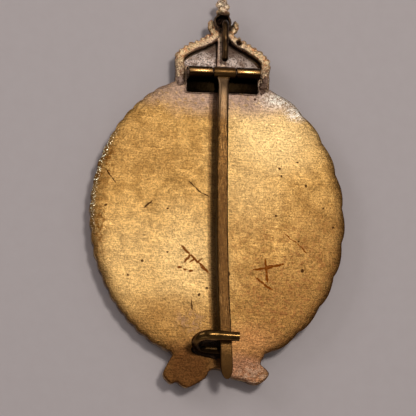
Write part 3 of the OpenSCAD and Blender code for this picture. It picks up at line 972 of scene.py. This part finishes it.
# half outlines of the crown, from its foot to its top: middle line of an arch, its pearls, the hole
# of a recess and the grey metal in it
ARCH = [(7.75, 23.9), (7.8, 25.5), (7.85, 27.3), (8.0, 28.6), (7.8, 29.6), (7.1, 30.5),
        (6.0, 31.3), (4.7, 32.0), (3.4, 32.6), (2.2, 33.3), (1.3, 34.2), (0.9, 35.2)]
PEARLS = [(8.15, 28.6), (8.1, 29.6), (7.5, 30.4), (6.65, 31.1), (5.7, 31.75), (4.7, 32.3),
          (3.65, 32.9), (2.8, 33.5)]
RECESS = [(0.7, 27.2), (7.4, 27.2), (7.5, 28.9), (6.2, 30.4), (4.0, 31.7), (2.2, 32.7), (0.7, 33.5)]
LINING = [(1.0, 27.4), (6.9, 27.4), (6.95, 28.7), (5.9, 29.8), (3.8, 31.0), (2.1, 31.9), (1.0, 32.5)]


def smooth_line(points, per=6):
    """A smooth line through the points."""
    out = []
    ends = [points[0]] + list(points) + [points[-1]]
    for i in range(1, len(ends) - 2):
        p0, p1, p2, p3 = (Vector(p) for p in ends[i - 1:i + 3])
        for k in range(per):
            t = k / per
            out.append(0.5 * (2 * p1 + (p2 - p0) * t + (2 * p0 - 5 * p1 + 4 * p2 - p3) * t * t
                              + (3 * p1 - p0 - 3 * p2 + p3) * t ** 3))
    out.append(Vector(points[-1]))
    return out


def bar(line, half, low, high, side=1):
    """A rounded bar that follows a flat line between two heights, mirrored where side is -1."""
    line = [Vector(p) for p in line]
    verts = []
    count = len(line)
    section = [(-1, 0.25), (-0.86, 0.08), (-0.6, 0), (0.6, 0), (0.86, 0.08), (1, 0.25),
               (1, 0.8), (0.8, 1.0), (-0.8, 1.0), (-1, 0.8)]
    for i in range(count):
        a, b = line[max(i - 1, 0)], line[min(i + 1, count - 1)]
        d = (b - a).normalized()
        across = Vector((-d.y, d.x))
        width = half(i / (count - 1)) if callable(half) else half
        for s, h in section:
            p = line[i] + across * s * width
            verts.append((p.x * side, p.y, high + (low - high) * h))
    return verts, skin_faces(count, len(section))


def slab(points, low, high):
    """A flat plate with straight sides."""
    n = len(points)
    verts = [(x, y, high) for x, y in points] + [(x, y, low) for x, y in points]
    faces = [tuple(range(n)), tuple(range(2 * n - 1, n - 1, -1))]
    faces += [(i, (i + 1) % n, n + (i + 1) % n, n + i) for i in range(n)]
    return verts, faces


def cup(centre, outer, inner, segments=40, rings=14):
    """A half-round bowl that opens towards +Z."""
    verts, faces = [], []
    turns = np.linspace(0, math.pi / 2 * 0.98, rings)
    profile = [(outer * math.cos(a), -outer * math.sin(a)) for a in turns][::-1]
    profile += [(outer - 0.03, 0.12), ((outer + inner) / 2, 0.2), (inner + 0.03, 0.12)]
    profile += [(inner * math.cos(a), -inner * math.sin(a)) for a in turns]
    n = len(profile)
    for k in range(segments):
        a = 2 * math.pi * k / segments
        verts.extend((centre[0] + r * math.cos(a), centre[1] + r * math.sin(a), centre[2] + z)
                     for r, z in profile)
    for k in range(segments):
        m = (k + 1) % segments
        for j in range(n - 1):
            faces.append((k * n + j, m * n + j, m * n + j + 1, k * n + j + 1))
    faces.append(tuple(k * n for k in range(segments)))
    faces.append(tuple(k * n + n - 1 for k in range(segments)))
    return verts, faces


def arch_width(u):
    return 0.78 + 0.4 * max(0.0, 0.4 - u) - 0.5 * max(0.0, u - 0.75)


def crown():
    """Crown, with its orb and cross: rounded bars and beads, melted into one casting."""
    parts = []
    for side in (1, -1):
        verts, faces = bar(smooth_line(ARCH), arch_width, -2.0, -0.05, side)
        parts.append(([Vector(v) + Vector((0.22, 0, 0)) for v in verts], faces))
        parts.append(slab([(x * side, y) for x, y in RECESS], -2.2, -RECESS_D - 0.15))
        for i, (x, y) in enumerate(PEARLS):
            size = 0.52 + 0.06 * math.sin(i * 2.3 + side)
            behind, before = (x * side * 1.03 + 0.2, y + 0.25, -0.62), (x * side * 0.98, y - 0.1, -1.75)
            parts.append(blob(behind, (size, size, 0.66), 0.15, i + side, 2))
            parts.append(blob(before, (size, size, 0.6), 0.1, i, 2))
        # curled knob beside the orb
        x, y, z = (2.45, 36.2, -0.75) if side > 0 else (-2.1, 36.1, -0.7)
        parts.append(blob((x, y, z), (0.62, 1.05, 0.7), 0.35, 4.0 * side, 3))
        parts.append(blob((x * 0.75, y - 0.5, -0.8), (0.6, 0.75, 0.6), 0.2, 6.0 * side, 3))
        parts.append(bar([(1.2, 34.4), (1.6, 35.1), (abs(x) - 0.1, 35.8)], 0.72, -1.4, -0.3, side))
    # middle arch, headband and the rail over it
    parts.append(bar([(0, 23.9), (0, 27), (0, 31), (0, 34.6), (0, 35.6)],
                     lambda u: 0.85 + 0.15 * u, -2.5, -0.1))
    parts.append(bar([(-8.0, 24.6), (-4, 25.4), (0, 25.7), (4, 25.4), (8.0, 24.6)], 1.7, -2.4, -0.25))
    parts.append(bar([(-7.6, 27.2), (0, 27.4), (7.6, 27.2)], 0.7, -2.4, -0.35))
    # jewels of the band and pearls of the middle arch, on the front
    for i in range(-3, 4):
        radii = (0.72, 0.6, 0.45) if i % 2 else (0.5, 0.75, 0.5)
        parts.append(blob((i * 2.15, 25.4, -2.35), radii, 0.05, i, 2))
    for i in range(6):
        parts.append(blob((0, 27.6 + i * 1.3, -2.45), (0.52, 0.52, 0.42), 0.05, i, 2))
    # orb, its neck with two lumps, and the worn cross
    parts.append(cup((0, ORB_Y, -0.5), ORB_R, ORB_R - 0.42))
    parts.append(bar([(0, 38.2), (0, 38.9), (0, 39.6)], lambda u: 1.15 - 0.4 * u, -1.25, -0.2))
    for centre, radii, lumps, seed in (
            ((-0.75, 38.7, -0.5), (0.5, 0.5, 0.5), 0.2, 1.0), ((0.8, 38.5, -0.5), (0.55, 0.6, 0.5), 0.2, 2.0),
            ((-0.35, 40.35, -0.75), (0.95, 0.98, 0.62), 0.18, -1.05),
            ((0.72, 40.05, -0.8), (0.62, 0.66, 0.5), 0.18, 2.16),
            ((0.1, 40.85, -0.75), (0.7, 0.68, 0.5), 0.18, 0.3),
            ((-0.1, 39.4, -0.8), (0.8, 0.5, 0.5), 0.18, -0.3)):
        parts.append(blob(centre, radii, lumps, seed, 3))

    verts, faces = join_parts(parts)
    mesh = bpy.data.meshes.new("crown_parts")
    mesh.from_pydata([place(v) for v in verts], [], faces)
    turn_faces_out(mesh)
    fused = melted(mesh, 0.1, 1)
    hole = place((*ARCH_HOLE, 0))
    for v in fused.vertices:
        p = v.co / MM
        v.co += (wobble(p, 0.6, 0.08, 2.0) + wobble(p, 0.28, 0.035, 5.0)) * MM
        away = math.hypot(v.co.x - hole.x, v.co.y - hole.y) / MM
        if away < 0.6 and v.co.z > hole.z - 0.8 * MM:
            v.co.z -= 0.7 * MM * (1 - (away / 0.6) ** 2)
    finish_piece("crown_casting", fused, MAT_CROWN, "badge", "crown_shell", 80)


def melted(mesh, voxel, smooth):
    """One skin round overlapping closed shapes, with softened edges."""
    source = bpy.data.objects.new("melt_source", mesh)
    bpy.context.scene.collection.objects.link(source)
    remesh = source.modifiers.new("remesh", "REMESH")
    remesh.mode = "VOXEL"
    remesh.voxel_size = voxel * MM
    soften = source.modifiers.new("soften", "SMOOTH")
    soften.factor = 0.5
    soften.iterations = smooth
    graph = bpy.context.evaluated_depsgraph_get()
    out = bpy.data.meshes.new_from_object(source.evaluated_get(graph))
    bpy.data.objects.remove(source)
    return out


def crown_lining():
    """Grainy grey metal on the floor of the two recesses."""
    parts = []
    for side in (1, -1):
        border = [(x * side, y) for x, y in LINING][::side]
        dense = []
        for a, b in zip(border, border[1:] + border[:1]):
            steps = max(2, int(math.dist(a, b) / 0.3))
            dense.extend((a[0] + (b[0] - a[0]) * k / steps, a[1] + (b[1] - a[1]) * k / steps)
                         for k in range(steps))

        def top(x, y):
            rise = 0.10 * noise.noise(Vector((x * 1.1, y * 1.1, 3.0)))
            rise += 0.05 * noise.noise(Vector((x * 3.2, y * 3.2, 9.0)))
            return -RECESS_D + 0.14 + rise

        def bottom(x, y):
            return -RECESS_D - 0.2

        parts.append(layered_body(dense, [(0.0, top), (0.0, bottom)], top, bottom, 0.3))
    verts, faces = join_parts(parts)
    add_piece("crown_recess_lining", verts, faces, MAT_LINING, "badge", "crown_lining", 60)


def stay_wire():
    top = STAY_BEND
    path = [(STAY_X, STAY_FOOT + (top - STAY_FOOT) * k / 24, STAY_Z) for k in range(25)]
    path += [(STAY_X, top + STAY_BEND_R * math.sin(a), STAY_Z - STAY_BEND_R * (1 - math.cos(a)))
             for a in np.linspace(0, math.pi / 2, 10)[1:]]
    path += [(STAY_X, top + STAY_BEND_R, STAY_Z - STAY_BEND_R - k * 0.25) for k in range(1, 6)]
    path = [Vector(p) + Vector((0.05 * math.sin(i * 0.22), 0, 0)) for i, p in enumerate(path)]
    verts, faces = tube(path, lambda u: STAY_R * (1 - 0.05 * math.sin(9 * u)), 28, (True, False))
    verts = [v + wobble(v, 0.8, 0.02) for v in verts]
    add_piece("crown_stay_rod", verts, faces, MAT_STAY, "badge", "crown_stay_wire", 60)


# ---------------------------------------------------------------- hinge, pin and catch

HINGE_AT = (0, AXIS_Y, 0)


def hinge():
    half = HINGE_W / 2
    inner = KNUCKLE_W / 2 + SIDE_GAP
    parts = [block((-half, -LEAF_FRONT, 0.0), (half, LEAF_BACK, LEAF_T), 0.09)]
    for side in (-1, 1):
        x0, x1 = sorted((side * inner, side * half))
        parts.append(block((x0, -POST_D / 2, 0.2), (x1, POST_D / 2, AXIS_Z - AXLE_R - 0.05), 0.08))
        knuckle = barrel(x0, x1, BARREL_R, AXLE_R + 0.005)
        parts.append(([Vector(v) + Vector((0, 0, AXIS_Z)) for v in knuckle[0]], knuckle[1]))
        # the curl of the sheet, seen as a step where it closes on the leaf
        parts.append(block((x0 + 0.03, -BARREL_R - 0.02, AXIS_Z - 1.5),
                           (x1 - 0.03, -BARREL_R + 0.35, AXIS_Z - 0.1), 0.06))
    verts, faces = join_parts([turned(part, HINGE_SKEW, HINGE_AT) for part in parts])
    add_piece("hinge_leaf_and_knuckles", verts, faces, MAT_HINGE, "badge", "hinge_leaf", 40)

    end = half + 0.1
    path = [(-end + 2 * end * k / 12, 0, AXIS_Z) for k in range(13)]
    axle = tube(path, lambda u: AXLE_R * 0.99, 32)
    verts, faces = turned(axle, HINGE_SKEW, HINGE_AT)
    add_piece("hinge_axle_wire", verts, faces, MAT_SOLDER, "badge", "hinge_axle", 40)

    # solder fillet round the leaf's left, front and right edges
    side, low = half + 0.05, 0.06
    edge = [(-side, LEAF_BACK - 0.3, low), (-side, -LEAF_FRONT * 0.5, low), (-side, -LEAF_FRONT, low),
            (-half * 0.4, -LEAF_FRONT - 0.05, 0.04), (half * 0.4, -LEAF_FRONT - 0.05, 0.04),
            (side, -LEAF_FRONT, low), (side, -LEAF_FRONT * 0.4, low), (side, LEAF_BACK - 0.3, low)]

    def bead_radius(u):
        return 0.09 + 0.05 * noise.noise(Vector((u * 19, 0, 0))) + 0.1 * max(0, u - 0.7)

    bead = tube(smooth_line(edge, 14), bead_radius, 12, (True, True))
    verts = [Vector((v.x, v.y, max(v.z, 0.0))) for v in (p + wobble(p, 0.5, 0.05) for p in bead[0])]
    verts, faces = turned((verts, bead[1]), HINGE_SKEW, HINGE_AT)
    add_piece("hinge_solder_fillet", verts, faces, MAT_PLATE, "badge", "hinge_solder", 70)


def bent_x(u):
    return -0.15 + PIN_DRIFT * u ** 3


def half_width(u):
    if u < 0.045:
        return PIN_W / 2 + 0.85 * (1 - u / 0.045) ** 1.6
    if u < 0.96:
        return PIN_W / 2 + 0.1 * u * u
    return (PIN_W / 2 + 0.1) * math.sqrt(max(1 - ((u - 0.96) / 0.0402) ** 2, 0.02))


def pin_top(u):
    """Height of the shaft's top over the hinge axis at the share u of its length."""
    if u < 0.07:
        rise = min(max((u - 0.012) / 0.058, 0), 1)
        return PIN_TOP - 0.6 * (1 - rise * rise * (3 - 2 * rise))
    if u < 0.85:
        return PIN_TOP + 0.12 * u / 0.85
    if u < 0.9:
        return PIN_TOP + 0.12 * (0.9 - u) / 0.05
    return PIN_TOP - 1.1 * ((u - 0.9) / 0.1) ** 1.4


def pin_bottom(u):
    if u < 0.07:
        return PIN_TOP - PIN_T
    if u < 0.9:
        return pin_top(u) - PIN_T
    return PIN_TOP - PIN_T - 0.1 * (u - 0.9) / 0.1


def brooch_pin():
    stations = [0.0, 0.008, 0.016, 0.024, 0.034, 0.044, 0.056, 0.07] + list(np.linspace(0.085, 0.95, 60))
    stations += [0.96, 0.97, 0.98, 0.987, 0.993, 0.997, 0.9995]
    section = []
    corner = 0.22
    for cx, cz, a0 in ((1, 1, 0), (-1, 1, 90), (-1, -1, 180), (1, -1, 270)):
        for k in range(5):
            a = math.radians(a0 + 90 * k / 4)
            section.append((cx, cz, math.cos(a), math.sin(a)))
    verts = []
    for u in stations:
        w = half_width(u)
        high, low = pin_top(u), pin_bottom(u)
        middle, h = (high + low) / 2, (high - low) / 2
        r = min(corner + 0.5 * max(0.0, 1 - u / 0.3), 0.8 * w, 0.8 * h)
        for cx, cz, ca, sa in section:
            x = bent_x(u) + cx * (w - r) + ca * r
            z = middle + cz * (h - r) + sa * r
            p = Vector((x, 0.3 - u * (PIN_L + 0.3), z))
            p += wobble(p, 2.2, 0.035, 1.0) if 0.05 < u < 0.95 else Vector()
            verts.append(p)
    shaft = verts, skin_faces(len(stations), len(section))
    knuckle = barrel(-KNUCKLE_W / 2, KNUCKLE_W / 2, BARREL_R, AXLE_R + 0.03)
    verts, faces = join_parts([shaft, turned(knuckle, HINGE_SKEW, (0, 0, 0))])
    verts = [Vector(v) + Vector((0, AXIS_Y, AXIS_Z)) for v in verts]
    add_piece("brooch_pin_shaft", verts, faces, MAT_PIN, "pin", "brooch_pin", 38)


def catch():
    middle = HOOK_RISE / 2
    path = [(HOOK_BEND_X + HOOK_FOOT_L * (1 - k / 14), 0, 0) for k in range(15)]
    path += [(HOOK_BEND_X - middle * math.sin(a), 0, middle - middle * math.cos(a))
             for a in np.linspace(0, math.pi, 34)[1:-1]]
    path += [(HOOK_BEND_X + HOOK_TOP_L * k / 18, 0, HOOK_RISE) for k in range(19)]
    lean = Matrix.Rotation(-HOOK_LEAN, 3, "X")
    foot = Vector((0, -HOOK_Y, HOOK_R - 0.1))
    path = [lean @ Vector(p) + foot for p in path]
    hook = tube(path, lambda u: HOOK_R * (1 + 0.16 * math.exp(-((u - 0.74) / 0.10) ** 2)), 32)
    verts = [v + wobble(v, 1.6, 0.02, 3.0) for v in hook[0]]
    verts = [Vector((v.x, v.y, max(v.z, 0.0))) for v in verts]
    add_piece("catch_wire", verts, hook[1], MAT_HOOK, "badge", "catch_hook", 50)

    # solder pad under the catch, near black and spread wide as painted shade under the hook
    pad = blob((HOOK_BEND_X + 0.9, -HOOK_Y + 0.5, 0.0), (3.1, 1.9, 0.4), 0.25, 2.0, 4)
    verts = [Vector((v.x, v.y, max(v.z, -0.02))) for v in pad[0]]
    add_piece("catch_solder_pad", verts, pad[1], MAT_SOLDER_AND_SHADE, "badge", "catch_solder", 70)


def crown_beads():
    """Solder where the crown's feet meet the oval."""
    parts = [blob((-7.6, 24.8, -0.12), (0.75, 0.8, 0.3), 0.5, 1.0, 4),
             blob((7.7, 24.9, -0.08), (0.7, 0.8, 0.4), 0.6, 2.0, 4),
             blob((7.55, 23.9, -0.1), (0.55, 0.5, 0.35), 0.7, 5.0, 3),
             blob((8.0, 25.9, -0.1), (0.5, 0.7, 0.35), 0.6, 7.0, 3)]
    verts, faces = join_parts(parts)
    add_piece("crown_solder_beads", verts, faces, MAT_SOLDER, "badge", "crown_solder", 70)


back_plate()
wreath_shell()
crown()
crown_lining()
stay_wire()
hinge()
brooch_pin()
catch()
crown_beads()
rim_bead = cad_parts["rim_solder"]
rim_bead.data.materials.clear()
rim_bead.data.materials.append(MAT_SOLDER)


# ---------------------------------------------------------------- floor, lights and camera

def pale_floor():
    mesh = bpy.data.meshes.new("floor")
    reach = 3.0
    corners = [(-reach, -reach, 0), (reach, -reach, 0), (reach, reach, 0), (-reach, reach, 0)]
    mesh.from_pydata(corners, [], [(0, 1, 2, 3)])
    floor = bpy.data.objects.new("floor", mesh)
    bpy.context.scene.collection.objects.link(floor)
    look = Look("pale_floor", metallic=0.0)
    grain = look.noise(0.4, 4, 0.6)
    colour = look.mix(grain, srgb(210, 199, 198), srgb(216, 206, 205))
    mesh.materials.append(look.finish(colour, 0.85))


def softbox(name, azimuth, elevation, distance, size, power, tint=(1, 1, 1)):
    """An area light that looks at the middle of the badge. Azimuth 0 is +X, 90 is +Y."""
    data = bpy.data.lights.new(name, "AREA")
    data.shape = "RECTANGLE"
    data.size, data.size_y = size
    data.energy = power
    data.color = tint
    lamp = bpy.data.objects.new(name, data)
    a, e = math.radians(azimuth), math.radians(elevation)
    way = Vector((math.cos(e) * math.cos(a), math.cos(e) * math.sin(a), math.sin(e)))
    lamp.location = place((0, 4, 0)) + way * distance
    lamp.rotation_euler = way.to_track_quat("Z", "Y").to_euler()
    bpy.context.scene.collection.objects.link(lamp)


def studio():
    softbox("key", 51, 73, 0.5, (0.09, 0.09), 0.76, (1.0, 0.97, 0.93))
    softbox("ceiling", 85, 62, 0.45, (0.4, 0.4), 0.10, (1.0, 0.97, 0.95))
    softbox("left", 150, 28, 0.6, (0.3, 0.2), 0.50, (0.98, 0.97, 1.0))
    softbox("below", -110, 24, 0.6, (0.3, 0.2), 0.12, (0.98, 0.97, 1.0))
    world = bpy.data.worlds.new("studio")
    bpy.context.scene.world = world
    world.use_nodes = True
    world.node_tree.nodes["Background"].inputs["Color"].default_value = (0.60, 0.56, 0.56, 1)
    world.node_tree.nodes["Background"].inputs["Strength"].default_value = 0.25
    bpy.context.scene.view_settings.view_transform = "Standard"


def camera():
    """Looks down on the back from the lower left, through a long lens."""
    data = bpy.data.cameras.new("camera")
    data.lens, data.sensor_width = 150, 36
    data.clip_start, data.clip_end = 0.01, 20
    cam = bpy.data.objects.new("camera", data)
    lean, way, roll = math.radians(18), math.radians(-122), math.radians(1.37)
    back = Vector((math.sin(lean) * math.cos(way), math.sin(lean) * math.sin(way), math.cos(lean)))
    up = (Vector((0, 1, 0)) - back * back.y).normalized()
    right = up.cross(back)
    up = up * math.cos(roll) - right * math.sin(roll)
    right = up.cross(back)
    framed = 74.1
    middle = place((-2.0, 1.2, 0))
    spot = middle + back * (framed * MM * data.lens / data.sensor_width)
    cam.matrix_world = Matrix([(right[i], up[i], back[i], spot[i]) for i in range(3)] + [(0, 0, 0, 1)])
    bpy.context.scene.collection.objects.link(cam)
    bpy.context.scene.camera = cam


pale_floor()
studio()
camera()
